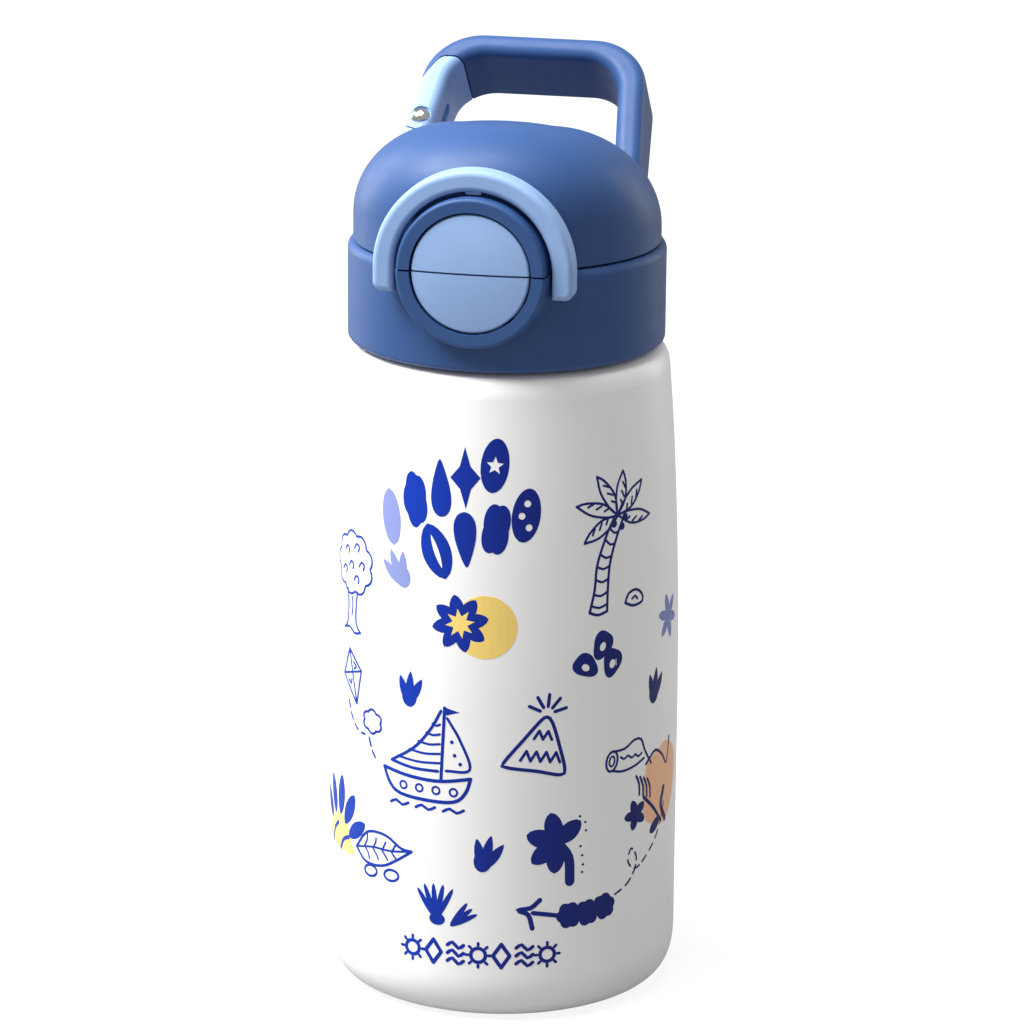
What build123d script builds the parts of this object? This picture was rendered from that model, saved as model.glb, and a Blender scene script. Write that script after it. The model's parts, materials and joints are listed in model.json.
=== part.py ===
"""Child's insulated straw bottle: steel flask, screw-on lid, flip-up cover, lock bail and carry handle.

Millimetres. Z is up, the push button faces -Y, and the origin is the centre of the flat base.
Each function makes one sub-part, and the table at the end writes each to its own STEP file.
"""
from build123d import *
import math
import os

# ---- flask ----
BODY_R = 36.0
BASE_FLAT_R = 28.6
BASE_CORNER_H = 10.0
STRAIGHT_TOP = 57.0
WAIST_R = 35.25
WAIST_Z = 96.0
SHOULDER_R = 33.2
SHOULDER_Z = 130.0
NECK_BASE_Z = 134.5
NECK_R = 25.8
MOUTH_Z = 147.0
SHELL_WALL = 0.8
LINER_R = 32.2
LINER_FLOOR_Z = 5.0
BASE_PLATE_R = 26.0
BASE_PLATE_T = 1.0

# ---- screw thread ----
THREAD_PITCH = 4.0
THREAD_TURNS = 1.5
THREAD_ROOT_W = 1.6
THREAD_CREST_W = 0.9
THREAD_H = 1.3
THREAD_Z = 137.6

# ---- lid collar and insert ----
COLLAR_R = 32.1
COLLAR_IN_R = 30.1
COLLAR_Z0 = 135.0
COLLAR_Z1 = 155.2
COLLAR_TOP_FILLET = 1.7
COLLAR_FOOT_FILLET = 1.1
INSERT_R = 28.9
INSERT_BORE_R = 27.5
INSERT_Z0 = 136.0
INSERT_TOP_Z0 = 148.0
DECK_Z0 = 150.6
DECK_Z1 = 152.2
SPOUT_HOLE_R = 6.3
GASKET_GAP = 0.1

# ---- cover ----
SEAM_Z = 155.6
COVER_R = 31.0
COVER_WALL = 2.2
CROWN_Z = 178.5
CROWN_RISE = 0.6
ROUND_R = 21.6
ROUND_H = 19.3
COVER_TILT = 11.0

# ---- push button and its boss ----
BUTTON_Z = 155.4
BOSS_FACE_Y = -34.5
BOSS_R = 14.9
BOSS_FLARE = 1.4
BUTTON_HOLE_R = 12.2
BUTTON_R = 11.8
BUTTON_T = 2.7
BUTTON_CROWN = 0.7
BUTTON_BACK_Y = BOSS_FACE_Y + BUTTON_T + 0.2
SPRING_X = 6.0
SPRING_Z = 147.6

# ---- lock bail ----
BAIL_IN_R = 15.8
BAIL_OUT_R = 20.1
BAIL_FRONT_Y = -32.6
BAIL_REAR_Y = -28.4
BAIL_FOOT_Z = 150.5
BAIL_PIVOT_Y = -30.4
BAIL_PIVOT_Z = 152.8
BAIL_PIN_R = 0.6
BAIL_PIN_X0 = 16.5
BAIL_PIN_L = 3.0
EAR_X0 = 17.2
EAR_X1 = 18.8

# ---- cover hinge ----
HINGE_Y = 33.0
HINGE_Z = 155.4
HINGE_R = 3.2
HINGE_PIN_R = 1.25
KNUCKLE_X0 = 3.5
KNUCKLE_X1 = 7.6
LUG_X0 = 8.0
LUG_X1 = 12.4

# ---- carry handle ----
PIVOT_Y = 14.2
PIVOT_Z = 165.4
HANDLE_LEAN = 46.0
HUB_R = 5.0
HANDLE_TOP_S = 31.4
HANDLE_SHIFT_X = -0.6  # the loop rests a little to the left in its side play
HANDLE_FOOT_HALF_W = 25.6
HANDLE_TOP_HALF_W = 22.2
LEG_W = 5.7
BAR_W = 5.0
HANDLE_TOP_DEPTH = 16.0
HANDLE_EDGE_R = 2.2
AXLE_R = 1.5
AXLE_HALF_L = 23.0
POCKET_X = 17.7
POCKET_WALL = 1.8

# ---- gate in the handle's left leg ----
GATE_PIVOT_X = -21.75
GATE_PIVOT_S = 9.9
GATE_END_R = 3.5
RIVET_R = 1.1
RIVET_HEAD_R = 1.95
RIVET_HEAD_H = 1.0
TONGUE_R = 2.2
TONGUE_STEM_W = 3.8
TONGUE_DEPTH = 5.25
TONGUE_T = 3.55
GATE_ROOM_DEPTH = 3.9
GATE_ROOM_T = 5.2
GROOVE_FLOOR_X = -19.3
GROOVE_S = 12.8
GROOVE_L = 9.2
GROOVE_W = 3.0
GROOVE_DEPTH = 7.0

# ---- fits ----
RUN_GAP = 0.3
PIN_GAP = 0.05

# ---- the handle's own directions: up the loop, and from its front face to its back ----
LEAN = math.radians(HANDLE_LEAN)
UP_DIR = Vector(0, math.sin(LEAN), math.cos(LEAN))
BACK_DIR = Vector(0, math.cos(LEAN), -math.sin(LEAN))
LOOP_PLANE = Plane(
    origin=Vector(HANDLE_SHIFT_X, PIVOT_Y, PIVOT_Z) - BACK_DIR * HUB_R,
    x_dir=(1, 0, 0),
    z_dir=BACK_DIR * -1,
)


def ring_solid(face):
    """Turn a face drawn in the XZ plane right round the Z axis."""
    return revolve(face, Axis.Z)


def xz_face(*points):
    """Straight-sided face in the XZ plane from (radius, height) points."""
    return make_face(Plane.XZ * Polyline(*points, close=True))


def flat_ring(inner_r, outer_r, z0, z1):
    """Ring of rectangular section about the Z axis."""
    return ring_solid(xz_face((inner_r, z0), (outer_r, z0), (outer_r, z1), (inner_r, z1)))


def rod(radius, start, direction, length):
    """Round bar from a start point along a direction."""
    bar = Cylinder(radius, length, align=(Align.CENTER, Align.CENTER, Align.MIN))
    return Plane(origin=start, z_dir=direction) * bar


def block(low, high):
    """Box between two opposite corners."""
    size = [b - a for a, b in zip(low, high)]
    middle = [(a + b) / 2 for a, b in zip(low, high)]
    return Pos(*middle) * Box(*size)


def yz_prism(points, x0, x1):
    """Prism along X over an outline given as (y, z) points."""
    face = make_face(Plane.YZ * Polyline(*points, close=True))
    return Pos(x0, 0, 0) * extrude(face, x1 - x0, dir=(1, 0, 0))


# ---------------------------------------------------------------- flask

def flask_solid(inset, floor_z, neck_r, top_z):
    """Solid inside the flask's side, `inset` in from its outer surface."""
    base_r = BASE_FLAT_R - inset
    side_r = BODY_R - inset
    shoulder_z = SHOULDER_Z - inset
    neck_z = NECK_BASE_Z - inset
    side = [
        Line((0, floor_z), (base_r, floor_z)),
        Bezier(
            (base_r, floor_z),
            (base_r + 5.4, floor_z),
            (side_r, floor_z + 3.6),
            (side_r, floor_z + BASE_CORNER_H),
        ),
        Line((side_r, floor_z + BASE_CORNER_H), (side_r, STRAIGHT_TOP)),
        Spline(
            (side_r, STRAIGHT_TOP),
            (WAIST_R - inset, WAIST_Z),
            (SHOULDER_R - inset, shoulder_z),
            tangents=((0, 1), (-0.09, 1)),
        ),
        Bezier(
            (SHOULDER_R - inset, shoulder_z),
            (SHOULDER_R - inset - 0.36, neck_z - 0.5),
            (SHOULDER_R - inset - 3.0, neck_z),
            (SHOULDER_R - inset - 5.0, neck_z),
        ),
        Line((SHOULDER_R - inset - 5.0, neck_z), (neck_r, neck_z)),
        Line((neck_r, neck_z), (neck_r, top_z)),
        Line((neck_r, top_z), (0, top_z)),
        Line((0, top_z), (0, floor_z)),
    ]
    return ring_solid(make_face(Plane.XZ * Curve(side)))


def thread_ridge(radius, outward, start_z):
    """Helical ridge of trapezoid section, rooted just inside the surface at `radius`."""
    path = Helix(THREAD_PITCH, THREAD_PITCH * THREAD_TURNS, radius, center=(0, 0, start_z))
    root = -0.3 * outward
    crest = THREAD_H * outward
    outline = [
        (radius + root, start_z - THREAD_ROOT_W / 2),
        (radius + crest, start_z - THREAD_CREST_W / 2),
        (radius + crest, start_z + THREAD_CREST_W / 2),
        (radius + root, start_z + THREAD_ROOT_W / 2),
    ]
    return sweep(xz_face(*outline), path=path, is_frenet=True)


def outer_shell():
    body = flask_solid(0, 0, NECK_R, MOUTH_Z)
    hollow = flask_solid(SHELL_WALL, SHELL_WALL, NECK_R - SHELL_WALL, MOUTH_Z + 1)
    base_hole = rod(BASE_PLATE_R, (0, 0, -1), (0, 0, 1), 4)
    return body - hollow - base_hole + thread_ridge(NECK_R, 1, THREAD_Z)


def inner_shell():
    neck_out_r = NECK_R - SHELL_WALL
    inset = BODY_R - LINER_R
    outside = flask_solid(inset, LINER_FLOOR_Z, neck_out_r, MOUTH_Z)
    inside = flask_solid(inset + SHELL_WALL, LINER_FLOOR_Z + SHELL_WALL, neck_out_r - SHELL_WALL, MOUTH_Z + 1)
    return outside - inside


def base_plate():
    plate = rod(BASE_PLATE_R, (0, 0, 0), (0, 0, 1), BASE_PLATE_T)
    groove = ring_solid(xz_face((18.0, -1), (21.0, -1), (20.4, 0.4), (18.6, 0.4)))
    return plate - groove


def getter():
    return rod(5.0, (12.0, 0, BASE_PLATE_T), (0, 0, 1), 1.2)


def mouth_gasket():
    z0 = MOUTH_Z + GASKET_GAP
    z1 = INSERT_TOP_Z0 - GASKET_GAP
    return flat_ring(24.4, 26.6, z0, z1)


# ---------------------------------------------------------------- button boss

def boss_cone(r_face, flare, rear_y):
    """Boss about the button's axis, wider by `flare` at its rear."""
    depth = rear_y - BOSS_FACE_Y
    plane = Plane(origin=(0, BOSS_FACE_Y, BUTTON_Z), z_dir=(0, 1, 0))
    return plane * Cone(r_face, r_face + flare, depth, align=(Align.CENTER, Align.CENTER, Align.MIN))


def button_disc(radius, back_y):
    """Button disc with a slightly crowned, round-edged face."""
    edge_y = BOSS_FACE_Y + 0.2
    section = [
        Line((0, back_y), (radius, back_y)),
        Line((radius, back_y), (radius, edge_y + 0.5)),
        ThreePointArc((radius, edge_y + 0.5), (radius - 0.15, edge_y + 0.15), (radius - 0.5, edge_y)),
        ThreePointArc(
            (radius - 0.5, edge_y),
            (radius / 2, edge_y - BUTTON_CROWN * 0.74),
            (0, edge_y - BUTTON_CROWN),
        ),
        Line((0, edge_y - BUTTON_CROWN), (0, back_y)),
    ]
    disc = revolve(make_face(Curve(section)), Axis.Y)
    return Pos(0, 0, BUTTON_Z) * disc


def half_space(above):
    """Everything above the seam, or everything below the collar's top."""
    if above:
        return block((-60, -60, SEAM_Z), (60, 60, SEAM_Z + 60))
    return block((-60, -60, COLLAR_Z1 - 60), (60, 60, COLLAR_Z1))


# ---------------------------------------------------------------- lid

def collar_tube():
    tube = flat_ring(COLLAR_IN_R, COLLAR_R, COLLAR_Z0, COLLAR_Z1)
    outer_edges = [e for e in tube.edges().filter_by(GeomType.CIRCLE) if abs(e.radius - COLLAR_R) < 0.01]
    outer_edges.sort(key=lambda e: e.center().Z)
    tube = fillet(outer_edges[-1], COLLAR_TOP_FILLET)
    outer_edges = [e for e in tube.edges().filter_by(GeomType.CIRCLE) if abs(e.center().Z - COLLAR_Z0) < 0.01]
    outer_edges.sort(key=lambda e: e.radius)
    return fillet(outer_edges[-1], COLLAR_FOOT_FILLET)


def hinge_block(x0, x1, reach_points):
    """Hinge barrel length with the web that joins it to a wall."""
    barrel = rod(HINGE_R, (x0, HINGE_Y, HINGE_Z), (1, 0, 0), x1 - x0)
    return barrel + yz_prism(reach_points, x0, x1)


def both_sides(solid):
    return solid + mirror(solid, Plane.YZ)


def lid_collar():
    deck = flat_ring(SPOUT_HOLE_R, COLLAR_IN_R + 0.5, DECK_Z0, DECK_Z1)
    boss = boss_cone(BOSS_R, BOSS_FLARE, -28.4)
    boss -= both_sides(block((BAIL_IN_R - 0.5, -40, BAIL_FOOT_Z - 0.4), (40, 40, 200)))
    boss = fillet(boss.faces().sort_by(Axis.Y)[0].edges().filter_by(GeomType.CIRCLE), 0.7)
    boss &= half_space(False)
    boss -= rod(COLLAR_IN_R, (0, 0, 100), (0, 0, 1), 100)
    body = collar_tube() + deck + boss
    well = rod(BUTTON_HOLE_R, (0, -40, BUTTON_Z), (0, 1, 0), 12)
    flange_well = rod(BUTTON_HOLE_R + 1.2, (0, BOSS_FACE_Y + 1.5, BUTTON_Z), (0, 1, 0), 8)
    hook_slot = block((-4.6, -32, 148), (4.6, -20.6, 160))
    body = body - well - (flange_well & block((-20, -40, 130), (20, -20, DECK_Z0 - 0.6))) - hook_slot
    web = [(29.4, 150.2), (31.5, 150.2), (36.1, 154.4), (36.1, HINGE_Z), (29.4, 155.0)]
    lug = hinge_block(LUG_X0, LUG_X1, web)
    cover_room = rod(HINGE_R + RUN_GAP, (-LUG_X0, HINGE_Y, HINGE_Z), (1, 0, 0), 2 * LUG_X0)
    body = body - cover_room + both_sides(lug)
    valve_hole = rod(1.5, (0, 14, 145), (0, 0, 1), 10)
    return body - hinge_bore() - valve_hole


def hinge_bore():
    return rod(HINGE_PIN_R + PIN_GAP, (-LUG_X1 + 0.8, HINGE_Y, HINGE_Z), (1, 0, 0), 2 * LUG_X1 - 1.6)


def cover_hinge_pin():
    return rod(HINGE_PIN_R, (-LUG_X1 + 1.0, HINGE_Y, HINGE_Z), (1, 0, 0), 2 * LUG_X1 - 2.0)


def coil(wire_r, coil_r, turns, start, direction, length):
    """Helical spring wire of the given length along a direction."""
    pitch = (length - 2 * wire_r) / turns
    path = Helix(pitch, pitch * turns, coil_r)
    section = Plane(origin=path @ 0, z_dir=path % 0) * Circle(wire_r)
    wire = sweep(section, path=path, is_frenet=True)
    return Plane(origin=start, z_dir=direction) * Pos(0, 0, wire_r) * wire


def cover_spring():
    return coil(0.35, 2.0, 6, (-3.1, HINGE_Y, HINGE_Z), (1, 0, 0), 6.2)


def thread_insert():
    sleeve = flat_ring(INSERT_BORE_R, INSERT_R, INSERT_Z0, INSERT_TOP_Z0)
    top = flat_ring(SPOUT_HOLE_R, COLLAR_IN_R, INSERT_TOP_Z0, DECK_Z0)
    button_room = block((-13.6, -40, 140), (13.6, -26.9, 160))
    hook_room = block((-4.6, -32, 150.0), (4.6, -20.6, 160))
    valve_hole = rod(1.5, (0, 14, 145), (0, 0, 1), 10)
    insert = sleeve + (top - button_room) - hook_room - valve_hole
    return insert + thread_ridge(INSERT_BORE_R, -1, THREAD_Z + THREAD_PITCH / 2)


def spout():
    profile = [
        (2.6, 144.0), (5.4, 144.0), (5.8, 150.0), (6.1, 150.6), (6.1, DECK_Z1), (9.0, DECK_Z1), (9.0, 153.2),
        (6.9, 153.8), (6.0, 161.0), (5.4, 163.5), (5.9, 166.0), (5.8, 168.2), (5.2, 169.0), (3.0, 169.0),
        (2.6, 168.4),
    ]
    body = ring_solid(xz_face(*profile))
    socket = rod(3.5, (0, 0, 143), (0, 0, 1), 8)
    return body - socket


def straw():
    return flat_ring(2.6, 3.5, 9.0, 151.0)


def air_valve():
    profile = [
        (0, 146.4), (1.9, 147.2), (1.9, 147.9), (1.4, 147.9), (1.4, DECK_Z1), (3.4, DECK_Z1), (3.2, 152.9),
        (1.2, 153.3), (0, 153.3),
    ]
    return Pos(0, 14, 0) * ring_solid(xz_face(*profile))


# ---------------------------------------------------------------- button, hook and springs

def push_button():
    disc = button_disc(BUTTON_R, BUTTON_BACK_Y)
    flange = rod(BUTTON_R + 1.0, (0, BUTTON_BACK_Y - 0.9, BUTTON_Z), (0, 1, 0), 0.9)
    flange &= block((-20, -40, 130), (20, -20, DECK_Z0 - 1.0))
    body = (disc & half_space(False)) + flange
    for x in (-SPRING_X, SPRING_X):
        body -= rod(2.5, (x, BUTTON_BACK_Y - 1.5, SPRING_Z), (0, 1, 0), 4)
    return body


def latch_hook():
    arm = block((-4.0, BUTTON_BACK_Y, 150.9), (4.0, -23.8, 152.0))
    riser = block((-4.0, -25.2, 152.0), (4.0, -23.8, 155.0))
    nose = yz_prism([(-26.0, 153.8), (-25.2, 153.6), (-25.2, 155.0), (-25.8, 155.0)], -4.0, 4.0)
    foot = block((-4.0, BUTTON_BACK_Y, 149.4), (4.0, BUTTON_BACK_Y + 0.8, 152.0))
    return arm + riser + nose + foot


def button_springs():
    start_y = BUTTON_BACK_Y - 1.4
    length = -INSERT_R - start_y
    spring = coil(0.2, 1.9, 4, (SPRING_X, start_y, SPRING_Z), (0, 1, 0), length - 0.85)
    return Compound([spring, Pos(-2 * SPRING_X, 0, 0) * spring])


# ---------------------------------------------------------------- cover

def dome_solid(inset):
    """Dome with an elliptical edge, sheared so that its top falls towards the back."""
    side_r = COVER_R - inset
    flat_r = COVER_R - ROUND_R
    top_z = CROWN_Z - inset
    curve_z = CROWN_Z - ROUND_H
    low_z = SEAM_Z - 20
    outline = [
        Line((0, low_z), (side_r, low_z)),
        Line((side_r, low_z), (side_r, curve_z)),
        EllipticalCenterArc((flat_r, curve_z), side_r - flat_r, top_z - curve_z, 0, arc_size=90),
        ThreePointArc((flat_r, top_z), (flat_r / 2, top_z + CROWN_RISE * 0.75), (0, top_z + CROWN_RISE)),
        Line((0, top_z + CROWN_RISE), (0, low_z)),
    ]
    upright = ring_solid(make_face(Plane.XZ * Curve(outline)))
    slope = math.tan(math.radians(COVER_TILT))
    shear = Matrix([[1, 0, 0, 0], [0, 1, 0, 0], [0, -slope, 1, 0]])
    return upright.transform_geometry(shear)


def pocket_outline(grow):
    """Side view of the space that a handle hub and leg sweep, as a face in YZ."""
    r = HUB_R + 0.5 + grow
    rear_y = 45.0
    floor_z = SEAM_Z + 1.4 - grow
    path = [
        Line((PIVOT_Y - r, 200), (PIVOT_Y - r, PIVOT_Z)),
        RadiusArc((PIVOT_Y - r, PIVOT_Z), (PIVOT_Y, PIVOT_Z - r), -r),
        Line((PIVOT_Y, PIVOT_Z - r), (27.5, floor_z)),
        Line((27.5, floor_z), (rear_y, floor_z)),
        Line((rear_y, floor_z), (rear_y, 200)),
        Line((rear_y, 200), (PIVOT_Y - r, 200)),
    ]
    return make_face(Plane.YZ * Curve(path))


def handle_pocket(grow):
    return both_sides(Pos(POCKET_X - grow, 0, 0) * extrude(pocket_outline(grow), 20, dir=(1, 0, 0)))


def bail_ear():
    """Ear that reaches from the cover's front down beside the collar, into a pocket in a bail leg."""
    outline = [
        (-22.5, SEAM_Z + 0.2), (-28.4, SEAM_Z + 0.2), (-29.6, BAIL_PIVOT_Z), (-30.4, BAIL_PIVOT_Z - 1.3),
        (-31.2, BAIL_PIVOT_Z - 0.9), (-31.5, BAIL_PIVOT_Z), (-31.2, SEAM_Z + 1.0), (-28.6, SEAM_Z + 4.2),
        (-22.5, SEAM_Z + 4.2),
    ]
    return both_sides(yz_prism(outline, EAR_X0, EAR_X1))


def axle_boss():
    """Boss behind each pocket wall that carries the handle's axle."""
    return both_sides(rod(3.4, (14.5, PIVOT_Y, PIVOT_Z), (1, 0, 0), POCKET_X - 14.5))


def axle_rod(radius, half_length):
    return rod(radius, (-half_length, PIVOT_Y, PIVOT_Z), (1, 0, 0), 2 * half_length)


def cover_shell():
    outer = dome_solid(0)
    cavity = dome_solid(COVER_WALL) - handle_pocket(POCKET_WALL)
    boss = boss_cone(BOSS_R, 0.25, -24.0)
    boss = fillet(boss.faces().sort_by(Axis.Y)[0].edges().filter_by(GeomType.CIRCLE), 0.7)
    recess = rod(BUTTON_HOLE_R, (0, -40, BUTTON_Z), (0, 1, 0), 40 + BUTTON_BACK_Y)
    web = [(28.9, SEAM_Z), (HINGE_Y, SEAM_Z), (HINGE_Y, HINGE_Z + HINGE_R - 0.2), (28.9, 160.5)]
    knuckle = hinge_block(KNUCKLE_X0, KNUCKLE_X1, web)
    lug_room = rod(HINGE_R + RUN_GAP, (-LUG_X1 - 0.4, HINGE_Y, HINGE_Z), (1, 0, 0), 2 * LUG_X1 + 0.8)
    body = outer - cavity
    body += axle_boss() & outer
    body += boss - rod(COVER_R - COVER_WALL, (0, 0, 100), (0, 0, 1), 100)
    body = body - handle_pocket(0) - recess
    body = body & half_space(True)
    body = body - lug_room
    body = body + both_sides(knuckle) + (bail_ear() - cavity)
    body -= rod(HINGE_PIN_R + PIN_GAP, (-9, HINGE_Y, HINGE_Z), (1, 0, 0), 18)
    body -= both_sides(rod(BAIL_PIN_R, (EAR_X0 - 1, BAIL_PIVOT_Y, BAIL_PIVOT_Z), (1, 0, 0), 4))
    return body - axle_rod(AXLE_R + PIN_GAP, POCKET_X + 1)


def cover_liner():
    profile = [
        (11.2, 155.9), (27.6, 155.9), (27.6, 157.1), (12.2, 157.1), (11.4, 171.2), (0, 171.2), (0, 170.0),
        (10.3, 170.0),
    ]
    liner = ring_solid(xz_face(*profile))
    striker_room = block((-5, -40, 150), (5, -24, 170))
    return liner - striker_room - handle_pocket(POCKET_WALL + 0.1)


def spout_seal():
    return rod(8.0, (0, 0, 169.3), (0, 0, 1), 0.7)


def button_trim():
    return button_disc(BUTTON_R, BUTTON_BACK_Y - 0.05) & half_space(True)


def latch_striker():
    stem = block((-3.8, -29.6, 152.3), (3.8, -27.3, 160.0)) & dome_solid(COVER_WALL)
    ledge = yz_prism([(-27.4, 152.3), (-26.3, 152.5), (-26.3, 153.4), (-27.4, 153.5)], -3.8, 3.8)
    return stem + ledge


def bail_pins():
    pin = rod(BAIL_PIN_R, (BAIL_PIN_X0, BAIL_PIVOT_Y, BAIL_PIVOT_Z), (1, 0, 0), BAIL_PIN_L)
    return Compound([pin, mirror(pin, Plane.YZ)])


def handle_axle():
    return axle_rod(AXLE_R, AXLE_HALF_L)


# ---------------------------------------------------------------- lock bail

def lock_bail():
    sketch_plane = Plane(origin=(0, BAIL_REAR_Y, BUTTON_Z), x_dir=(1, 0, 0), z_dir=(0, -1, 0))
    foot = BAIL_FOOT_Z - BUTTON_Z
    outline = [
        CenterArc((0, 0), BAIL_OUT_R, 0, 180),
        Line((-BAIL_OUT_R, 0), (-BAIL_OUT_R, foot)),
        Line((-BAIL_OUT_R, foot), (-BAIL_IN_R, foot)),
        Line((-BAIL_IN_R, foot), (-BAIL_IN_R, 0)),
        CenterArc((0, 0), BAIL_IN_R, 0, 180),
        Line((BAIL_IN_R, 0), (BAIL_IN_R, foot)),
        Line((BAIL_IN_R, foot), (BAIL_OUT_R, foot)),
        Line((BAIL_OUT_R, foot), (BAIL_OUT_R, 0)),
    ]
    arch = extrude(sketch_plane * make_face(Curve(outline)), BAIL_REAR_Y - BAIL_FRONT_Y)
    foot_edges = [e for e in arch.edges() if e.center().Z < BAIL_FOOT_Z + 0.1]
    rear_feet = [e for e in foot_edges if abs(e.center().Y - BAIL_REAR_Y) < 0.1]
    arch = chamfer(rear_feet, 1.4)
    foot_edges = [e for e in arch.edges() if abs(e.center().Z - BAIL_FOOT_Z) < 0.1]
    outer_feet = [e for e in foot_edges if abs(abs(e.center().X) - BAIL_OUT_R) < 0.1]
    arch = fillet(outer_feet, 1.9)
    front = arch.faces().sort_by(Axis.Y)[0]
    arch = fillet(front.edges(), 1.2)
    tab = Pos(0, (BAIL_FRONT_Y + BAIL_REAR_Y) / 2, BUTTON_Z + BOSS_R + 0.8) * Box(3.0, 2.4, 0.9)
    ear_room = block((EAR_X0 - RUN_GAP, -31.8, BAIL_FOOT_Z - 1), (EAR_X1 + RUN_GAP, -20, SEAM_Z + 5.2))
    bore_start = (BAIL_PIN_X0 - 0.1, BAIL_PIVOT_Y, BAIL_PIVOT_Z)
    bore = rod(BAIL_PIN_R + PIN_GAP, bore_start, (1, 0, 0), BAIL_PIN_L + 0.2)
    return arch + tab - dome_solid(-0.4) - both_sides(ear_room) - both_sides(bore)


# ---------------------------------------------------------------- handle

def loop_point(x, s, depth):
    """Point of the handle's frame: across, up the loop from the pivot, back from its front face."""
    return Vector(HANDLE_SHIFT_X + x, PIVOT_Y, PIVOT_Z) + UP_DIR * s + BACK_DIR * (depth - HUB_R)


def loop_outline(foot_x, top_x, foot_s, top_s, corner_r):
    """Symmetric outline with two rounded top corners, in the handle's plane."""
    left = [(-foot_x, foot_s), (-top_x, top_s), (top_x, top_s), (foot_x, foot_s)]
    face = make_face(Polyline(*left, close=True))
    tops = [v for v in face.vertices() if v.Y > top_s - 0.1]
    return fillet(tops, corner_r)


def loop_slab(outline, depth):
    return extrude(LOOP_PLANE * outline, -depth)


def edges_on_front(solid):
    """Edges of the face that lies in the handle's front plane."""
    for face in solid.faces().filter_by(GeomType.PLANE):
        if abs((face.center() - LOOP_PLANE.origin).dot(BACK_DIR)) < 0.01:
            return face.edges()


def handle_ring():
    """Whole loop before the gate is cut out of it."""
    per_s = (HANDLE_FOOT_HALF_W - HANDLE_TOP_HALF_W) / HANDLE_TOP_S
    foot_s = -HUB_R
    outer = loop_outline(HANDLE_FOOT_HALF_W - per_s * foot_s, HANDLE_TOP_HALF_W, foot_s, HANDLE_TOP_S, 12.0)
    window_top = HANDLE_TOP_S - BAR_W
    window_foot_x = HANDLE_FOOT_HALF_W - LEG_W - per_s * (foot_s - 4)
    window_top_x = HANDLE_FOOT_HALF_W - LEG_W - per_s * window_top
    inner = loop_outline(window_foot_x, window_top_x, foot_s - 4, window_top, 8.0)
    depth = HANDLE_TOP_DEPTH + 1
    loop = loop_slab(outer, depth) - loop_slab(inner, depth)
    loop = fillet(edges_on_front(loop), HANDLE_EDGE_R)
    back_corner = (HANDLE_TOP_S - 3.0, HANDLE_TOP_DEPTH - 0.7)
    top_corner = (HANDLE_TOP_S + 0.01, HANDLE_TOP_DEPTH - 3.4)
    side = [
        Line((HANDLE_TOP_S + 1, -1), (0, -1)),
        Line((0, -1), (0, 0)),
        CenterArc((0, HUB_R), HUB_R, 90, 180),
        Line((0, 2 * HUB_R), back_corner),
        ThreePointArc(back_corner, (HANDLE_TOP_S - 0.8, HANDLE_TOP_DEPTH - 1.2), top_corner),
        Line(top_corner, (HANDLE_TOP_S + 1, -1)),
    ]
    side_plane = Plane(origin=loop_point(-40, 0, 0), x_dir=UP_DIR, z_dir=(-1, 0, 0))
    profile = make_face(side_plane * Curve(side))
    prism = extrude(profile, 80, dir=(1, 0, 0))
    return loop & prism


def gate_zone(gap):
    """Space of the gate: the left leg between its rounded foot and the slanted, rounded nose."""
    top = [
        (-30, 14.8 - gap), (-22.8, 20.2 - gap), (-19.8, 24.9 - gap), (-16.6, 25.0 - gap), (-9, 22.0 - gap),
        (-9, GATE_PIVOT_S), (-30, GATE_PIVOT_S),
    ]
    face = make_face(Polyline(*top, close=True))
    nose = [v for v in face.vertices() if -25 < v.X < -15]
    zone = loop_slab(fillet(nose, 2.2), 20)
    foot = loop_slab(Pos(GATE_PIVOT_X, GATE_PIVOT_S) * Circle(GATE_END_R + 0.35 - gap), 20)
    return zone + foot


def tongue_outline(gap, stem_w, stem_l):
    """Round head about the rivet on a straight stem, in the handle's plane."""
    stem = Pos(GATE_PIVOT_X, GATE_PIVOT_S - stem_l / 2) * Rectangle(stem_w, stem_l)
    return Pos(GATE_PIVOT_X, GATE_PIVOT_S) * Circle(TONGUE_R + gap) + stem


def gate_tongue():
    """Tongue that stands up from the left foot and carries the rivet."""
    outline = LOOP_PLANE * tongue_outline(0, TONGUE_STEM_W, 8)
    return Pos(*(BACK_DIR * TONGUE_DEPTH)) * extrude(outline, -TONGUE_T)


def gate_slot_room():
    """Slot in the gate, open below, that lets it turn about the tongue."""
    outline = LOOP_PLANE * tongue_outline(RUN_GAP, 9, 7.5)
    return Pos(*(BACK_DIR * GATE_ROOM_DEPTH)) * extrude(outline, -GATE_ROOM_T)


def gate_groove():
    """Round-ended groove in the gate's inner face."""
    start = loop_point(GROOVE_FLOOR_X, GROOVE_S, GROOVE_DEPTH)
    plane = Plane(origin=start, x_dir=UP_DIR, z_dir=(1, 0, 0))
    return extrude(plane * SlotOverall(GROOVE_L, GROOVE_W), 6)


def rivet_hole(radius, start, length):
    return rod(radius, loop_point(GATE_PIVOT_X, GATE_PIVOT_S, start), BACK_DIR, length)


def split_ring():
    """The loop without its gate, as its long part and its left foot."""
    ring = handle_ring()
    tongue = gate_tongue() & ring
    rest = ring - gate_zone(0) + tongue - rivet_hole(RIVET_R, -1, 20) - axle_rod(AXLE_R, AXLE_HALF_L)
    return rest.solids().sort_by(SortBy.VOLUME)


def handle_loop():
    return split_ring()[-1]


def handle_foot():
    return split_ring()[0]


def gate():
    blade = handle_ring() & gate_zone(0.35)
    blade -= gate_slot_room()
    recess = rivet_hole(RIVET_HEAD_R + 0.2, -1, 1.6)
    return blade - rivet_hole(RIVET_R + PIN_GAP, -1, 20) - recess - gate_groove()


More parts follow.
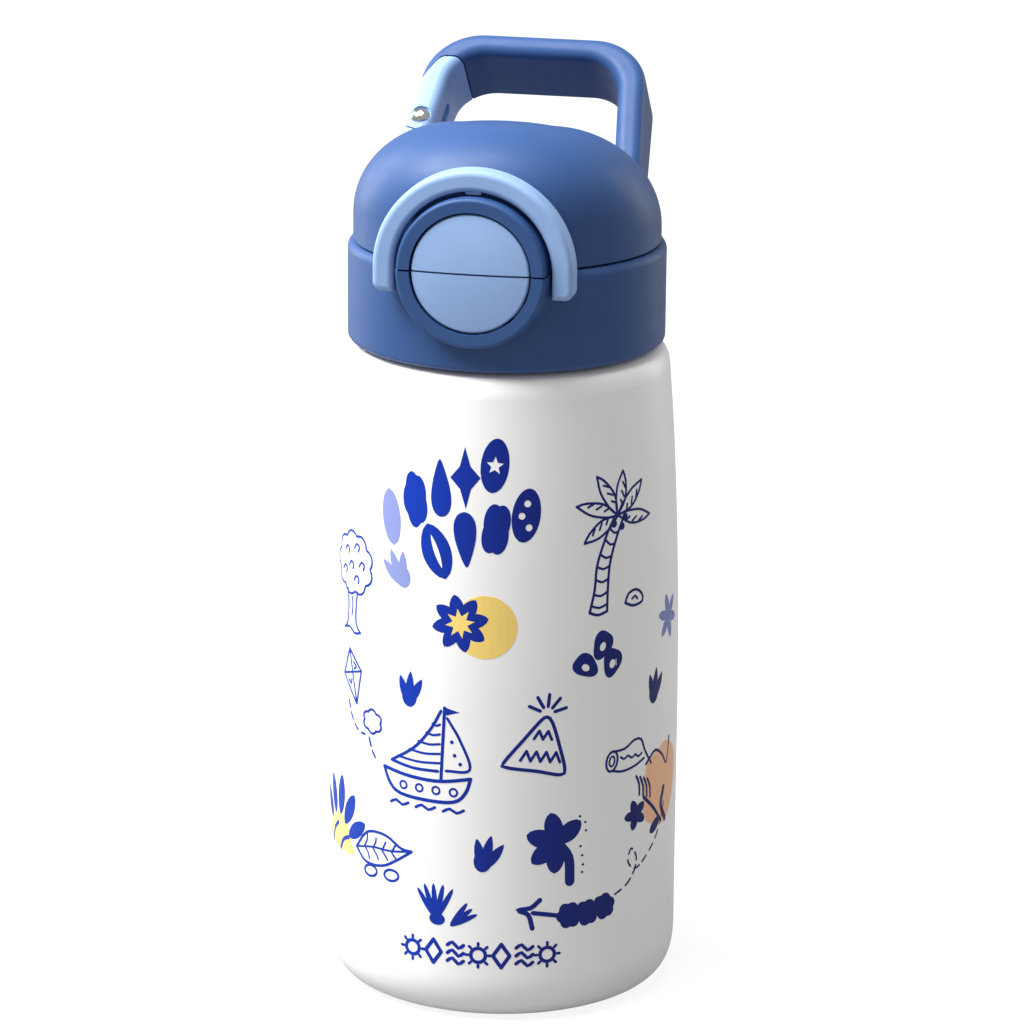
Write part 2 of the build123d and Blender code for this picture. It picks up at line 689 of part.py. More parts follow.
def gate_rivet():
    shaft = rivet_hole(RIVET_R, 0.4, 11.2)
    top = loop_point(GATE_PIVOT_X, GATE_PIVOT_S, 0.55 - RIVET_HEAD_H)
    outline = [
        Line((0, 0), (0, RIVET_HEAD_H)),
        ThreePointArc((0, RIVET_HEAD_H), (0.55 * RIVET_HEAD_R, 0.82 * RIVET_HEAD_H), (RIVET_HEAD_R, 0)),
        Line((RIVET_HEAD_R, 0), (0, 0)),
    ]
    head = ring_solid(make_face(Plane.XZ * Curve(outline)))
    head_plane = Plane(origin=top + BACK_DIR * RIVET_HEAD_H, x_dir=(1, 0, 0), z_dir=BACK_DIR * -1)
    return shaft + head_plane * head


def gate_spring():
    return coil(0.2, 1.6, 2, loop_point(GATE_PIVOT_X, GATE_PIVOT_S, 4.05), BACK_DIR, 1.1)


PARTS = {
    "outer_shell": outer_shell,
    "inner_shell": inner_shell,
    "base_plate": base_plate,
    "getter": getter,
    "mouth_gasket": mouth_gasket,
    "lid_collar": lid_collar,
    "thread_insert": thread_insert,
    "spout": spout,
    "straw": straw,
    "air_valve": air_valve,
    "cover_hinge_pin": cover_hinge_pin,
    "cover_spring": cover_spring,
    "push_button": push_button,
    "latch_hook": latch_hook,
    "button_springs": button_springs,
    "cover_shell": cover_shell,
    "cover_liner": cover_liner,
    "spout_seal": spout_seal,
    "button_trim": button_trim,
    "latch_striker": latch_striker,
    "bail_pins": bail_pins,
    "handle_axle": handle_axle,
    "lock_bail": lock_bail,
    "handle_loop": handle_loop,
    "handle_foot": handle_foot,
    "gate": gate,
    "gate_rivet": gate_rivet,
    "gate_spring": gate_spring,
}

os.makedirs("parts", exist_ok=True)
for name, make in PARTS.items():
    export_step(make(), f"parts/{name}.step")
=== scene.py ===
"""Looks of the child's straw bottle: plastics, steel, silicone, and a printed pattern wrapped on the body.

Metres in the row frame; the print is drawn in millimetres on the unrolled body and wrapped afterwards.
"""
import json
import math

import bpy
from mathutils import Matrix, Vector
from mathutils.bvhtree import BVHTree
from mathutils.geometry import delaunay_2d_cdt


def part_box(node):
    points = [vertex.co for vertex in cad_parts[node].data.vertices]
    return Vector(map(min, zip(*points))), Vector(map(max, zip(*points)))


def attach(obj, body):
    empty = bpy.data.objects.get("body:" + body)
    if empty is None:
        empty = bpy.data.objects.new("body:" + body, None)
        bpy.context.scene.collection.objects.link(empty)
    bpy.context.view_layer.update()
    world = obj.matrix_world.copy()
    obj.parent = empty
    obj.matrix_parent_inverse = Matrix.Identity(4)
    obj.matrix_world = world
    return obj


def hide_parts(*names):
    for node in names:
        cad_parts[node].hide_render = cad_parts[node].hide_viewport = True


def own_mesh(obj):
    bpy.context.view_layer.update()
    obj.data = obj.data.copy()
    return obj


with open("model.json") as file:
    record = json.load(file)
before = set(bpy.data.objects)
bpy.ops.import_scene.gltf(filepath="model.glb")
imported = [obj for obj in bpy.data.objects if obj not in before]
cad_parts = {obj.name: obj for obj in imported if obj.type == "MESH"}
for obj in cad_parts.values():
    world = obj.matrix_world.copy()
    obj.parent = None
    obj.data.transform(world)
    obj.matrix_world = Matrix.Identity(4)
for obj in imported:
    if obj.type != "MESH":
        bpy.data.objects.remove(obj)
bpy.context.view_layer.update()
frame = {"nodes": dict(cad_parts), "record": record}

MM = 0.001
BODY_R = (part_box("outer_shell")[1].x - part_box("outer_shell")[0].x) / 2 / MM

# ---- camera ----
CAM_AZIMUTH = 12.133
CAM_ELEVATION = 16.031
CAM_ROLL = 0.536
CAM_DISTANCE = 0.9723
CAM_LENS = 167.2
CAM_TARGET = Vector((0.0014, 0.0003, 0.0978))

# ---- light and floor ----
AMBIENT = 0.40
FLOOR_GREY = 0.18
FLOOR_GLOW = 0.18
FLOOR_GLOW_SEEN = 0.86
FLOOR_HALF = 6.0

# ---- print, in mm; only OUTSIDE is in metres ----
INK_PROUD = 0.04
INK_SUNK = 0.03
SLICE_X = 1.6
SLICE_Z = 8.0
MERGE_WITHIN = 1e-5
OUTSIDE = 0.06
LINE_W = 0.58


# ------------------------------------------------------------------ camera, light and floor

def make_camera():
    """Camera fitted to the photo; it looks at CAM_TARGET from the front right and a little above."""
    azimuth = math.radians(CAM_AZIMUTH)
    elevation = math.radians(CAM_ELEVATION)
    right = Vector((math.cos(azimuth), math.sin(azimuth), 0))
    level = Vector((math.sin(azimuth), -math.cos(azimuth), 0))
    back = level * math.cos(elevation) + Vector((0, 0, math.sin(elevation)))
    up = back.cross(right)
    turn = Matrix((right, up, back)).transposed().to_4x4() @ Matrix.Rotation(math.radians(CAM_ROLL), 4, "Z")
    data = bpy.data.cameras.new("camera")
    data.lens = CAM_LENS
    data.sensor_width = 36
    camera = bpy.data.objects.new("camera", data)
    camera.matrix_world = Matrix.Translation(CAM_TARGET + back * CAM_DISTANCE) @ turn
    bpy.context.scene.collection.objects.link(camera)
    bpy.context.scene.camera = camera


def area_light(name, place, aim, size, power):
    """Rectangular light at a place, turned towards aim."""
    data = bpy.data.lights.new(name, "AREA")
    data.shape = "RECTANGLE"
    data.size, data.size_y = size
    data.energy = power
    light = bpy.data.objects.new(name, data)
    light.location = place
    light.rotation_euler = (Vector(aim) - Vector(place)).to_track_quat("-Z", "Y").to_euler()
    bpy.context.scene.collection.objects.link(light)


def lit_and_seen(tree, lit, seen):
    """Strength of a white backdrop: one value for what it lights, another for how it looks itself."""
    path = tree.nodes.new("ShaderNodeLightPath")
    level = tree.nodes.new("ShaderNodeMapRange")
    level.inputs["To Min"].default_value = lit
    level.inputs["To Max"].default_value = seen
    tree.links.new(path.outputs["Is Camera Ray"], level.inputs["Value"])
    return level.outputs["Result"]


def make_lights():
    """Key from the upper left, soft top light, strips on both sides and an even white world."""
    area_light("key", place=(-0.70, -0.27, 1.04), aim=(0, 0, 0.13), size=(0.55, 0.55), power=26)
    area_light("top", place=(-0.18, -0.26, 1.35), aim=(0, 0, 0.15), size=(0.7, 0.7), power=13)
    area_light("left_strip", place=(-0.78, 0.42, 0.25), aim=(0, 0, 0.12), size=(0.25, 0.9), power=5)
    area_light("right_rim", place=(0.58, 0.66, 0.20), aim=(0, 0, 0.12), size=(0.10, 0.8), power=2.0)
    world = bpy.data.worlds.new("studio")
    world.use_nodes = True
    tree = world.node_tree
    glow = tree.nodes["Background"]
    glow.inputs["Color"].default_value = (1, 1, 1, 1)
    tree.links.new(lit_and_seen(tree, AMBIENT, 1.0), glow.inputs["Strength"])
    bpy.context.scene.world = world
    bpy.context.scene.view_settings.view_transform = "Standard"


def make_floor():
    """White paper that the bottle stands on, lit enough to melt into the backdrop."""
    mesh = bpy.data.meshes.new("floor")
    corners = [(x * FLOOR_HALF, y * FLOOR_HALF, 0) for x, y in ((-1, -1), (1, -1), (1, 1), (-1, 1))]
    mesh.from_pydata(corners, [], [(0, 1, 2, 3)])
    floor = bpy.data.objects.new("floor", mesh)
    bpy.context.scene.collection.objects.link(floor)
    tree, shader = new_material("floor_paper")
    shader.inputs["Roughness"].default_value = 0.9
    shader.inputs["Specular IOR Level"].default_value = 0.1
    grey = (FLOOR_GREY, FLOOR_GREY, FLOOR_GREY)
    colour_noise(tree, shader, grey, shades(grey, 0.03)[1], scale=3.0)
    shader.inputs["Emission Color"].default_value = (1, 1, 1, 1)
    tree.links.new(lit_and_seen(tree, FLOOR_GLOW, FLOOR_GLOW_SEEN), shader.inputs["Emission Strength"])
    floor.data.materials.append(MATERIALS["floor_paper"])


# ------------------------------------------------------------------ materials

MATERIALS = {}


def new_material(name):
    """Adds a material; returns its node tree and its main shader."""
    material = bpy.data.materials.new(name)
    material.use_nodes = True
    MATERIALS[name] = material
    tree = material.node_tree
    return tree, tree.nodes["Principled BSDF"]


def srgb(r, g, b):
    """Linear colour from 0-255 display values."""
    return tuple((c / 255 / 12.92) if c <= 10 else ((c / 255 + 0.055) / 1.055) ** 2.4 for c in (r, g, b))


def noise(tree, scale, detail, stretch):
    """Noise in object space, from 0 to 1."""
    where = tree.nodes.new("ShaderNodeTexCoord")
    mapping = tree.nodes.new("ShaderNodeMapping")
    mapping.inputs["Scale"].default_value = stretch
    texture = tree.nodes.new("ShaderNodeTexNoise")
    texture.inputs["Scale"].default_value = scale
    texture.inputs["Detail"].default_value = detail
    tree.links.new(where.outputs["Object"], mapping.inputs["Vector"])
    tree.links.new(mapping.outputs["Vector"], texture.inputs["Vector"])
    return texture.outputs["Fac"]


def ramp(tree, factor, stops):
    """Colour ramp of (position, colour) stops on a factor."""
    node = tree.nodes.new("ShaderNodeValToRGB")
    elements = node.color_ramp.elements
    while len(elements) < len(stops):
        elements.new(0.5)
    for element, (place, colour) in zip(elements, stops):
        element.position = place
        element.color = (*colour, 1)
    tree.links.new(factor, node.inputs["Fac"])
    return node.outputs["Color"]


def colour_noise(tree, shader, light, dark, scale, stretch=(1, 1, 1)):
    """Base colour that drifts between two shades."""
    fac = noise(tree, scale, 4.0, stretch)
    tree.links.new(ramp(tree, fac, [(0.35, dark), (0.65, light)]), shader.inputs["Base Color"])


def roughness_noise(tree, shader, low, high, scale, stretch=(1, 1, 1)):
    """Roughness that drifts between two values."""
    spread = tree.nodes.new("ShaderNodeMapRange")
    spread.inputs["From Min"].default_value = 0.3
    spread.inputs["From Max"].default_value = 0.7
    spread.inputs["To Min"].default_value = low
    spread.inputs["To Max"].default_value = high
    tree.links.new(noise(tree, scale, 4.0, stretch), spread.inputs["Value"])
    tree.links.new(spread.outputs["Result"], shader.inputs["Roughness"])


def grain(tree, shader, scale, height, strength, stretch=(1, 1, 1)):
    """Fine surface texture as bump, `height` in metres."""
    bump = tree.nodes.new("ShaderNodeBump")
    bump.inputs["Distance"].default_value = height
    bump.inputs["Strength"].default_value = strength
    tree.links.new(noise(tree, scale, 2.0, stretch), bump.inputs["Height"])
    tree.links.new(bump.outputs["Normal"], shader.inputs["Normal"])


def shades(colour, spread):
    """The colour a little lighter and a little darker."""
    return tuple(min(1, c * (1 + spread)) for c in colour), tuple(c * (1 - spread) for c in colour)


def soft_plastic(name, colour, roughness, specular):
    """Matt moulded plastic."""
    tree, shader = new_material(name)
    light, dark = shades(colour, 0.035)
    colour_noise(tree, shader, light, dark, scale=60)
    roughness_noise(tree, shader, roughness - 0.03, roughness + 0.04, scale=300)
    grain(tree, shader, scale=5200, height=0.000018, strength=0.35)
    shader.inputs["IOR"].default_value = 1.46
    shader.inputs["Specular IOR Level"].default_value = specular


def powder_coat():
    """Satin white coat of the body."""
    tree, shader = new_material("body_white")
    colour_noise(tree, shader, (0.915, 0.908, 0.903), (0.90, 0.893, 0.888), scale=40)
    roughness_noise(tree, shader, 0.42, 0.48, scale=500)
    grain(tree, shader, scale=3600, height=0.00002, strength=0.4)
    shader.inputs["Coat Weight"].default_value = 0.15
    shader.inputs["Coat Roughness"].default_value = 0.3


def metal(name, colour, roughness, stretch, scale):
    """Bare metal; stretch draws the noise out into brush marks."""
    tree, shader = new_material(name)
    light, dark = shades(colour, 0.06)
    colour_noise(tree, shader, light, dark, scale, stretch)
    roughness_noise(tree, shader, roughness * 0.8, roughness * 1.25, scale, stretch)
    grain(tree, shader, scale, height=0.000012, strength=0.4, stretch=stretch)
    shader.inputs["Metallic"].default_value = 1.0


def silicone(name, colour, transmission, roughness):
    """Soft rubber that lets some light in."""
    tree, shader = new_material(name)
    light, dark = shades(colour, 0.02)
    colour_noise(tree, shader, light, dark, scale=90)
    roughness_noise(tree, shader, roughness - 0.04, roughness + 0.05, scale=250)
    grain(tree, shader, scale=2500, height=0.00001, strength=0.3)
    shader.inputs["IOR"].default_value = 1.41
    shader.inputs["Transmission Weight"].default_value = transmission
    shader.inputs["Subsurface Weight"].default_value = 0.25
    shader.inputs["Subsurface Radius"].default_value = (0.002, 0.002, 0.002)
    shader.inputs["Subsurface Scale"].default_value = 1.0


BLUE = (0.029, 0.078, 0.222)
LIGHT_BLUE = (0.262, 0.398, 0.670)


def make_materials():
    """One material for each slot in the record."""
    powder_coat()
    soft_plastic("blue_plastic", BLUE, roughness=0.48, specular=0.34)
    soft_plastic("light_blue_plastic", LIGHT_BLUE, roughness=0.46, specular=0.35)
    soft_plastic("natural_plastic", (0.78, 0.80, 0.82), roughness=0.35, specular=0.5)
    metal("steel_brushed", (0.62, 0.62, 0.63), roughness=0.32, stretch=(1, 1, 30), scale=120)
    metal("steel_polished", (0.78, 0.77, 0.75), roughness=0.14, stretch=(1, 1, 1), scale=200)
    metal("getter_metal", (0.33, 0.33, 0.34), roughness=0.5, stretch=(1, 1, 1), scale=900)
    silicone("white_silicone", (0.82, 0.84, 0.86), transmission=0.0, roughness=0.5)
    silicone("clear_silicone", (0.75, 0.81, 0.87), transmission=0.45, roughness=0.35)


def dress_nodes():
    """Gives each CAD node the material of its slot in the record."""
    for row in frame["record"]["subparts"]:
        node = frame["nodes"][row["node"]]
        node.data.materials.clear()
        node.data.materials.append(MATERIALS[row["material_slot"]])


def sprung_button():
    """The return springs again, as a copy with a mesh of its own that hangs on the lid; the CAD node is
    hidden.
    """
    springs = frame["nodes"]["button_springs"].copy()
    springs.data = springs.data.copy()
    springs.name = "springs_that_shorten"
    bpy.context.scene.collection.objects.link(springs)
    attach(springs, "lid")
    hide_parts("button_springs")
    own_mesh(springs)


# ------------------------------------------------------------------ flat shapes, in mm on the unrolled body

def at(azimuth, height):
    """Point on the unrolled body, azimuth in degrees from the front."""
    return Vector((math.radians(azimuth) * BODY_R, height))


def turned(points, angle, scale=1.0, about=(0, 0)):
    """Points turned anticlockwise by degrees and scaled, then moved to a place."""
    c, s = math.cos(math.radians(angle)) * scale, math.sin(math.radians(angle)) * scale
    return [Vector((about[0] + c * p[0] - s * p[1], about[1] + s * p[0] + c * p[1])) for p in points]


def pebble(rx, ry, lumps=3, depth=0.06, phase=0.0, count=40):
    """Closed rounded outline with a few soft lumps."""
    outline = []
    for i in range(count):
        a = 2 * math.pi * i / count
        r = 1 + depth * math.sin(lumps * a + phase)
        outline.append((rx * r * math.cos(a), ry * r * math.sin(a)))
    return outline


def oval(rx, ry, place, count=40):
    """Closed oval about a place."""
    return turned(pebble(rx, ry, depth=0, count=count), 0, about=place)


def leaf(length, width, blunt=0.75, count=14):
    """Leaf that stands on the origin and points up; a low blunt value gives rounder ends."""
    side = []
    for i in range(1, count):
        side.append((width / 2 * math.sin(math.pi * i / count) ** blunt, length * i / count))
    return [(0, 0)] + side + [(0, length)] + [(-x, y) for x, y in reversed(side)]


def star(points, outer, inner):
    """Star outline with one point straight up."""
    outline = []
    for i in range(2 * points):
        r = outer if i % 2 == 0 else inner
        a = math.pi * i / points
        outline.append((r * math.sin(a), r * math.cos(a)))
    return outline


def smooth(points, closed=False, step=0.9):
    """Evenly sampled curve through the points."""
    points = [Vector(p) for p in points]
    n = len(points)
    spans = n if closed else n - 1
    line = []
    for i in range(spans):
        if closed:
            p0, p1, p2, p3 = (points[(i + k) % n] for k in (-1, 0, 1, 2))
        else:
            p1, p2 = points[i], points[i + 1]
            p0 = points[i - 1] if i > 0 else p1 * 2 - p2
            p3 = points[i + 2] if i + 2 < n else p2 * 2 - p1
        cuts = max(2, round((p2 - p1).length / step))
        for k in range(cuts):
            t = k / cuts
            line.append(0.5 * (2 * p1 + (p2 - p0) * t + (2 * p0 - 5 * p1 + 4 * p2 - p3) * t * t
                               + (3 * p1 - p0 - 3 * p2 + p3) * t ** 3))
    if not closed:
        line.append(points[-1])
    return line


def stroke(line, width=LINE_W, closed=False):
    """Triangles and round ends of a pen line."""
    n = len(line)
    left, right = [], []
    for i in range(n):
        a = line[i - 1] if (i > 0 or closed) else line[i]
        b = line[(i + 1) % n] if (i < n - 1 or closed) else line[i]
        along = (b - a).normalized()
        side = Vector((-along.y, along.x)) * width / 2
        left.append(line[i] + side)
        right.append(line[i] - side)
    shapes = []
    for i in range(n if closed else n - 1):
        k = (i + 1) % n
        shapes.append([left[i], right[i], right[k]])
        shapes.append([left[i], right[k], left[k]])
    if not closed:
        for end in (line[0], line[-1]):
            shapes.append(oval(width / 2, width / 2, end, 10))
    return shapes


def pen(points, width=LINE_W, closed=False):
    """Pen line through the points."""
    return stroke(smooth(points, closed), width, closed)


def dashes(points, dash, gap, width=0.5):
    """Pen line broken into dashes."""
    line = smooth(points, step=0.35)
    shapes, run, travelled = [], [], 0.0
    for p, q in zip(line, line[1:]):
        if travelled % (dash + gap) < dash:
            run.append(p)
        else:
            if len(run) > 1:
                shapes += stroke(run, width)
            run = []
        travelled += (q - p).length
    if len(run) > 1:
        shapes += stroke(run, width)
    return shapes


def zigzag(start, step, height, count, width):
    """Row of slanting strokes that join at their ends."""
    shapes = []
    corner = Vector(start)
    for i in range(count):
        rise = Vector((step, height if i % 2 == 0 else -height))
        shapes += stroke([corner, corner + rise], width)
        corner = corner + rise
    return shapes


def placed(shapes, place, angle=0.0, scale=1.0):
    """A motif's shapes, turned and scaled together and moved to a place."""
    return [turned(s, angle, scale, place) for s in shapes]


# ------------------------------------------------------------------ motifs, each about its own origin

def ring_marks(count, radius, length, width, start=0, sweep=360):
    """Short strokes that point outwards, like rays."""
    shapes = []
    for i in range(count):
        a = math.radians(start + sweep * i / count)
        out = Vector((math.sin(a), math.cos(a)))
        shapes += stroke([out * radius, out * (radius + length)], width)
    return shapes


def scalloped(rx, ry, lumps, depth=0.13, count=72):
    """Cloud-like outline made of round bumps."""
    outline = []
    for i in range(count):
        a = 2 * math.pi * i / count
        r = 1 + depth * (abs(math.sin(lumps * a / 2)) - 0.5)
        outline.append((rx * r * math.cos(a), ry * r * math.sin(a)))
    return outline


def drop(length, width, count=36):
    """Drop with a round foot and a pointed top, centred on the origin."""
    outline = []
    for i in range(count):
        a = 2 * math.pi * i / count
        narrow = (1 - math.sin(a)) / 2
        outline.append((width / 2 * math.cos(a) * (0.35 + 0.75 * narrow), length / 2 * math.sin(a)))
    return outline


def tuft(lean=0.0):
    """Small plant of three blades on a rounded foot, about 7 mm high."""
    blades = [turned(leaf(length, 1.9), angle + lean) for length, angle in ((6.4, 20), (7.2, -3), (6.6, -27))]
    return blades + [turned(pebble(1.75, 2.3, depth=0), lean, about=(0.1, 2.0))]


def flower(radius, petals, phase, slim):
    """Petals around the origin; slim is their width as a share of their length."""
    return [turned(leaf(radius, radius * slim, 0.62), 360 * i / petals + phase) for i in range(petals)]


def fluffy_tree():
    """Line-drawn tree with a round crown, 20 mm high."""
    shapes = pen(scalloped(6.6, 6.2, 9), 0.5, True)
    shapes = placed(shapes, (0, 4.5))
    shapes += pen([(-1.9, -1.2), (-1.4, -4.5), (-1.7, -8.2), (-3.0, -9.6)], 0.5)
    shapes += pen([(2.0, -1.2), (1.6, -4.5), (1.8, -8.0), (3.4, -9.4)], 0.5)
    shapes += pen([(-3.0, -9.6), (-0.8, -9.0), (1.2, -9.9), (3.4, -9.4)], 0.5)
    for x, y in ((-2.6, 6.8), (1.4, 8.0), (3.4, 4.6), (-0.6, 4.0), (-3.4, 2.6), (1.6, 1.4)):
        shapes += pen([(x - 1.0, y - 0.3), (x - 0.3, y + 0.7), (x + 0.8, y + 0.3), (x + 0.5, y - 0.7)], 0.5)
    shapes += pen([(0.1, -2.6), (0.3, -4.6), (0.0, -6.4)], 0.45)
    return shapes


def palm():
    """Line-drawn palm with a banded, curved trunk and a stone beside it, 27 mm high."""
    left = [(-5.8, -13.0), (-4.6, -8.4), (-3.9, -3.2), (-1.6, 2.4), (0.4, 5.6)]
    right = [(-1.6, -13.2), (-1.4, -8.6), (-0.8, -3.4), (1.0, 1.6), (2.6, 4.8)]
    shapes = pen(left) + pen(right) + pen([(-5.8, -13.0), (-3.8, -13.7), (-1.6, -13.2)])
    for i in range(7):
        t = (i + 0.7) / 7.6
        a, b = (smooth(side, step=0.5) for side in (left, right))
        p, q = a[int(t * (len(a) - 1))], b[int(t * (len(b) - 1))]
        shapes += pen([p, (p + q) / 2 + Vector((0, -0.6)), q], 0.5)
    fronds = [(-118, 9.5), (-72, 10.5), (-30, 10.0), (12, 9.0), (52, 9.5), (100, 10.0)]
    for angle, length in fronds:
        frond = [(0, 0), (1.5, length * 0.4), (0.9, length * 0.8), (-0.2, length)]
        back = [(-0.2, length), (-1.2, length * 0.65), (-0.9, length * 0.25), (0, 0)]
        shapes += placed(pen(frond, 0.5) + pen(back, 0.5), (1.4, 6.0), -angle)
        for k in (0.35, 0.55, 0.75):
            vein = stroke([Vector((0.2, length * k)), Vector((1.1, length * k - 1.1))], 0.45)
            shapes += placed(vein, (1.4, 6.0), -angle)
    for x, y in ((0.4, 4.4), (2.5, 3.6), (3.4, 5.4)):
        shapes.append(oval(0.75, 0.8, (x, y), 14))
    stone = [(3.2, -12.4), (4.2, -10.6), (6.4, -10.2), (8.2, -11.4), (8.4, -13.0), (5.6, -13.4), (3.2, -12.4)]
    shapes += pen(stone)
    shapes += pen([(5.2, -11.9), (6.2, -11.5), (6.8, -12.2)], 0.5)
    return shapes


def kite():
    """Line-drawn kite with a cross and two small hooks, 11 mm high."""
    body = [Vector(p) for p in ((0, 5.8), (3.6, 1.2), (0.6, -5.6), (-3.4, 0.6))]
    shapes = []
    for i in range(4):
        shapes += stroke([body[i], body[(i + 1) % 4]], 0.5)
    shapes += stroke([body[0], body[2]], 0.45) + stroke([body[1], body[3]], 0.45)
    shapes += pen([(1.0, 3.0), (1.9, 2.1), (1.1, 1.6)], 0.45)
    shapes += pen([(-1.6, -0.6), (-0.8, -1.5), (-0.4, -0.6)], 0.45)
    return shapes


def sail_boat():
    """Line-drawn boat with two sails above small waves, 21 mm wide and 23 mm high."""
    shapes = pen([(-10.4, -5.4), (-4.0, -6.2), (3.0, -6.3), (9.6, -5.2)], 0.75)
    hull = [(-10.4, -5.4), (-9.0, -8.4), (-6.4, -10.3), (0.5, -10.8), (6.2, -10.4), (8.6, -8.2), (9.6, -5.2)]
    shapes += pen(hull, 0.75)
    shapes += stroke([Vector((3.3, -6.0)), Vector((4.0, 9.6))], 0.7)
    sail = [(3.2, 8.8), (0.9, 4.6), (-2.8, 0.2), (-8.4, -3.6)]
    shapes += pen(sail, 0.65) + pen([(-8.4, -3.6), (-3.0, -4.3), (2.6, -4.2)], 0.65)
    for rise, reach in ((-2.4, -6.8), (-0.4, -3.9), (1.7, -1.8), (3.8, 0.0), (5.9, 1.4)):
        shapes += pen([(reach, rise), ((reach + 3.0) / 2, rise - 0.35), (3.0, rise)], 0.5)
    shapes += pen([(4.6, 7.4), (7.4, 2.8), (9.4, -3.2), (4.4, -3.9)], 0.6)
    for x, y in ((5.6, 2.4), (6.2, -0.4), (7.4, -2.2)):
        shapes.append(oval(0.4, 0.4, (x, y), 12))
    shapes.append([(4.1, 9.7), (4.0, 7.9), (7.2, 8.9)])
    for x in (-5.4, -1.6, 2.2, 6.0):
        shapes += placed(pen(pebble(0.8, 0.8, depth=0, count=12), 0.45, True), (x, -8.4))
    for x in (-8.6, -2.4, 3.8):
        shapes += pen([(x, -12.7), (x + 1.4, -12.0), (x + 2.9, -12.8), (x + 4.4, -12.1)], 0.6)
    return shapes


def mountain():
    """Line-drawn mountain with two zigzags and five rays, 16 mm high."""
    left = [(-6.6, -5.0), (-3.4, -0.2), (-0.4, 4.0)]
    right = [(0.9, 5.0), (2.2, 3.8), (4.2, -1.0), (5.8, -5.6), (5.0, -6.8)]
    shapes = pen(left + right + [(0, -6.2), (-6.0, -5.9)], 0.72, True)
    shapes += zigzag((-3.4, -4.2), 1.0, 2.0, 8, 0.6)
    shapes += zigzag((-1.2, 0.4), 0.9, 1.7, 4, 0.6)
    shapes += placed(ring_marks(5, 1.6, 2.4, 0.7, -70, 175), (0.9, 5.6))
    return shapes


def grass():
    """Fan of eight rounded blades, 8 mm high."""
    shapes = [oval(1.7, 1.3, (-0.6, 0.6))]
    for angle, length in ((34, 7.6), (20, 7.9), (5, 7.8), (-11, 7.9), (-27, 7.9)):
        shapes.append(turned(leaf(length, 1.15, 0.45), angle, about=(-0.8, 0.4)))
    for angle, length in ((-34, 6.4), (-48, 6.2), (-62, 6.4)):
        shapes.append(turned(leaf(length, 1.1, 0.45), angle, about=(2.2, -0.6)))
    return shapes


def garden_leaf():
    """Line-drawn leaf lying on two stones, with veins, 16 mm wide."""
    shapes = pen([(-7.6, -0.6), (-3.4, 3.4), (2.0, 3.6), (6.0, 1.4), (8.6, 1.0)], 0.6)
    shapes += pen([(-7.6, -0.6), (-4.4, -3.2), (0.6, -3.2), (4.6, -1.4), (8.6, 1.0)], 0.6)
    shapes += pen([(-7.6, -0.6), (-2.0, 0.4), (3.0, 0.4), (8.6, 1.0)], 0.45)
    for i in range(4):
        x = -4.6 + 2.7 * i
        shapes += pen([(x, 0.2), (x + 0.9, 1.6), (x + 1.1, 2.8 - 0.35 * i)], 0.45)
        shapes += pen([(x, 0.1), (x + 1.1, -1.2), (x + 1.4, -2.3 + 0.3 * i)], 0.45)
    for x in (-3.0, 3.0):
        shapes += placed(pen(pebble(1.9, 1.2, 2, 0.05, count=12), 0.55, True), (x, -4.9))
    return shapes


def log():
    """Slanting line-drawn log with its rings, 11 mm long."""
    shapes = pen([(-4.2, -2.2), (-1.2, -2.6), (2.4, -1.9), (5.6, -0.6)], 0.55)
    shapes += pen([(-4.4, 2.0), (-1.0, 2.4), (1.6, 3.9), (4.0, 3.8), (5.8, 1.0), (8.6, -2.2)], 0.55)
    shapes += placed(pen(pebble(1.5, 2.2, 2, 0.04, count=14), 0.55, True), (-4.4, -0.1))
    shapes += placed(pen(pebble(0.7, 1.1, 2, 0.04, count=12), 0.45, True), (-4.4, -0.1))
    for x in (-1.0, 1.4, 3.6):
        shapes += pen([(x - 1.0, 0.6), (x, 0.1), (x + 1.0, 0.7)], 0.5)
    return shapes


def small_signs():
    """Row of seven small plain signs, 33 mm long and 5 mm high."""
    shapes = []
    for i in range(7):
        x = -14.1 + 4.7 * i
        if i % 3 == 0:
            sign = pen(pebble(1.5, 1.5, depth=0, count=16), 0.75, True) + ring_marks(8, 2.1, 0.5, 0.6)
        elif i % 3 == 1:
            corners = [Vector(p) for p in ((0, 2.5), (1.7, 0), (0, -2.5), (-1.7, 0))]
            sign = []
            for k in range(4):
                sign += stroke([corners[k], corners[(k + 1) % 4]], 0.8)
        else:
            sign = []
            for y in (-1.7, 0, 1.7):
                sign += pen([(-1.7, y), (-0.6, y + 0.7), (0.6, y - 0.5), (1.7, y + 0.2)], 0.75)
        shapes += placed(sign, (x, 0))
    return shapes


# ------------------------------------------------------------------ the printed pattern

